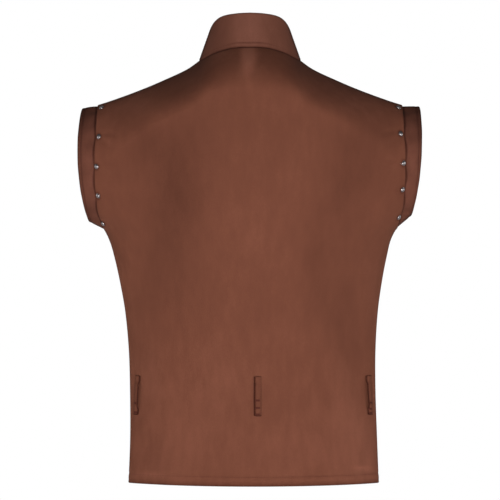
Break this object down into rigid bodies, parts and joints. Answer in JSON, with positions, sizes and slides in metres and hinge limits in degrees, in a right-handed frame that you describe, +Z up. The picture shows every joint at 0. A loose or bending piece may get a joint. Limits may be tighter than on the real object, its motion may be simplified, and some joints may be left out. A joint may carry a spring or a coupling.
{
  "type": "renaissance vest",
  "caption": "Sleeveless stand-collar vest in plain brushed cloth, filled out as worn and hollow, with studded armhole bands and belt loops across the waist of the back.",
  "frame": {"origin": "middle of the neck base, between the shoulder seams, where the wearer's shoulders carry it", "axes": "+Z up, +Y towards the garment's back, +X towards the wearer's left"},
  "size_m": [0.519, 0.2395, 0.7116],
  "materials": {
    "cloth": "brushed, matt with a soft sheen",
    "band_cloth": "brushed, matt with a soft sheen",
    "steel": "polished, slightly dulled"
  },
  "bodies": {
    "root": {"back": "cloth", "front_left": "cloth", "front_right": "cloth", "collar": "cloth", "band_left": "band_cloth", "band_right": "band_cloth", "belt_loop_centre": "cloth", "belt_loop_left": "cloth", "belt_loop_right": "cloth", "stud_left_1": "steel", "stud_left_2": "steel", "stud_left_3": "steel", "stud_left_4": "steel", "stud_left_5": "steel", "stud_left_6": "steel", "stud_left_7": "steel", "stud_left_8": "steel", "stud_left_9": "steel", "stud_left_10": "steel", "stud_right_1": "steel", "stud_right_2": "steel", "stud_right_3": "steel", "stud_right_4": "steel", "stud_right_5": "steel", "stud_right_6": "steel", "stud_right_7": "steel", "stud_right_8": "steel", "stud_right_9": "steel", "stud_right_10": "steel"}
  },
  "joints": []
}
